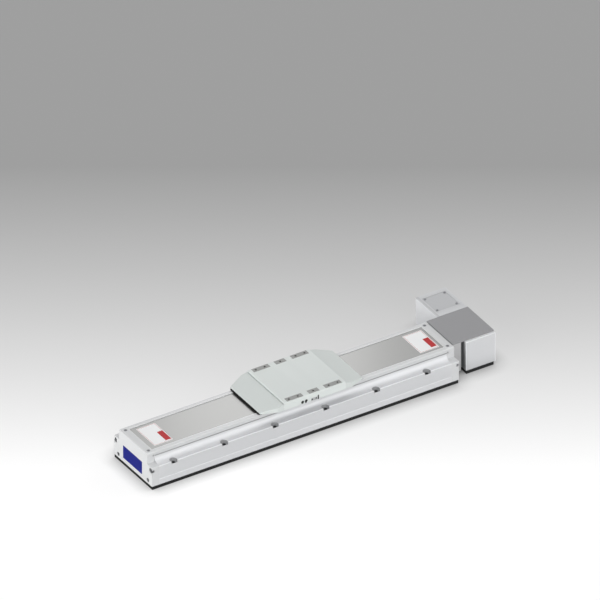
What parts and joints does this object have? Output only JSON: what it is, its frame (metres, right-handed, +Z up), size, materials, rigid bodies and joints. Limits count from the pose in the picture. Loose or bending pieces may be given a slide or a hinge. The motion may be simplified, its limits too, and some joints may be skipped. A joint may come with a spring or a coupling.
{
  "type": "belt driven linear axis",
  "caption": "Covered belt driven linear axis: extruded body with a steel strip, a low sliding table on profile rails, and a right-angle motor box at the drive end.",
  "frame": {"origin": "centre of the axis body's underside, midway between the outer faces of its two end caps", "axes": "+X along the travel towards the drive unit, +Z up out of the slider's table, +Y to the side where the motor box stands out"},
  "size_m": [0.86, 0.218, 0.1015],
  "materials": {
    "anodised_body": "satin clear anodised extrusion",
    "cap_white": "satin, cast and painted silver white",
    "black_plate": "matt black anodised",
    "rail_steel": "ground",
    "screw_steel": "plated",
    "screw_black": "black oxide",
    "strip_steel": "fine brushed stainless",
    "machined_aluminium": "milled",
    "belt_rubber": "moulded, fabric faced teeth",
    "bumper_urethane": "cast urethane",
    "cover_plastic": "fine moulded texture, pale grey green",
    "table_metal": "ground",
    "wiper_rubber": "matt",
    "bearing_steel": "polished",
    "motor_black": "matt black powder coat",
    "lid_grey": "fine textured grey",
    "panel_white": "satin silver white",
    "access_grey": "satin grey",
    "housing_grey": "dark grey casting",
    "bracket_grey": "milled, grey",
    "spider_red": "urethane",
    "block_green": "moulded",
    "grommet_black": "matt"
  },
  "bodies": {
    "axis_body": {"base_extrusion": "anodised_body", "base_plate": "black_plate", "cover_rail_left": "anodised_body", "cover_rail_right": "anodised_body", "near_end_cap": "cap_white", "far_end_cap": "cap_white", "near_cap_screws": "screw_steel", "far_cap_screws": "screw_steel", "guide_rail_left": "rail_steel", "guide_rail_right": "rail_steel", "rail_screws": "screw_black", "idler_bracket": "machined_aluminium", "idler_axle": "rail_steel", "tension_screws": "screw_black", "strip_clamps": "machined_aluminium", "steel_strip": "strip_steel", "toothed_belt": "belt_rubber", "stop_blocks": "machined_aluminium", "stop_bumpers": "bumper_urethane", "drive_bracket": "bracket_grey", "drive_housing": "housing_grey", "drive_bearings": "bearing_steel", "drive_lid": "lid_grey", "drive_side_cover": "panel_white", "drive_end_plate": "panel_white", "drive_foot": "black_plate", "motor_adapter": "machined_aluminium", "motor_body": "motor_black", "motor_encoder": "motor_black", "motor_screws": "screw_black", "motor_cover": "panel_white", "access_lid": "access_grey", "access_lid_screws": "screw_black", "cable_grommet": "grommet_black"},
    "carriage": {"saddle": "machined_aluminium", "guide_blocks": "rail_steel", "block_end_caps": "block_green", "belt_clamps": "machined_aluminium", "belt_clamp_screws": "screw_black", "slider_table": "table_metal", "table_screws": "screw_black", "table_cover": "cover_plastic", "front_end_cover": "cover_plastic", "rear_end_cover": "cover_plastic", "front_wiper": "wiper_rubber", "rear_wiper": "wiper_rubber", "grease_ports": "screw_black", "roller_axles": "rail_steel", "roller_brackets": "machined_aluminium"},
    "drive_rotor": {"drive_shaft": "rail_steel", "drive_pulley": "machined_aluminium", "coupling_hubs": "machined_aluminium", "coupling_spider": "spider_red", "motor_shaft": "rail_steel"},
    "idler_rotor": {"idler_pulley": "machined_aluminium", "idler_bearings": "bearing_steel"},
    "front_hold_roller": {"front_hold_roller": "wiper_rubber"},
    "rear_hold_roller": {"rear_hold_roller": "wiper_rubber"},
    "front_lift_roller": {"front_lift_roller": "wiper_rubber"},
    "rear_lift_roller": {"rear_lift_roller": "wiper_rubber"}
  },
  "joints": [
    {"name": "carriage_slide", "type": "slide", "parent": "axis_body", "child": "carriage", "axis": [1, 0, 0], "range_m": [-0.197, 0.153], "deforming": ["steel_strip", "toothed_belt"]},
    {"name": "drive_spin", "type": "hinge", "parent": "axis_body", "child": "drive_rotor", "pos_m": [0.4445, 0, 0.04], "axis": [0, 1, 0], "continuous": true},
    {"name": "idler_spin", "type": "hinge", "parent": "axis_body", "child": "idler_rotor", "pos_m": [-0.333, 0, 0.04], "axis": [0, 1, 0], "continuous": true},
    {"name": "front_hold_spin", "type": "hinge", "parent": "carriage", "child": "front_hold_roller", "pos_m": [-0.0885, 0, 0.0819], "axis": [0, 1, 0], "continuous": true},
    {"name": "rear_hold_spin", "type": "hinge", "parent": "carriage", "child": "rear_hold_roller", "pos_m": [0.1385, 0, 0.0819], "axis": [0, 1, 0], "continuous": true},
    {"name": "front_lift_spin", "type": "hinge", "parent": "carriage", "child": "front_lift_roller", "pos_m": [-0.063, 0, 0.0834], "axis": [0, 1, 0], "continuous": true},
    {"name": "rear_lift_spin", "type": "hinge", "parent": "carriage", "child": "rear_lift_roller", "pos_m": [0.113, 0, 0.0834], "axis": [0, 1, 0], "continuous": true}
  ],
  "couplings": [
    {"joint": "drive_spin", "follows": "carriage_slide", "rad_per_m": 52.36},
    {"joint": "idler_spin", "follows": "carriage_slide", "rad_per_m": 52.36},
    {"joint": "front_hold_spin", "follows": "carriage_slide", "rad_per_m": 285.71},
    {"joint": "rear_hold_spin", "follows": "carriage_slide", "rad_per_m": 285.71},
    {"joint": "front_lift_spin", "follows": "carriage_slide", "rad_per_m": -285.71},
    {"joint": "rear_lift_spin", "follows": "carriage_slide", "rad_per_m": -285.71}
  ]
}
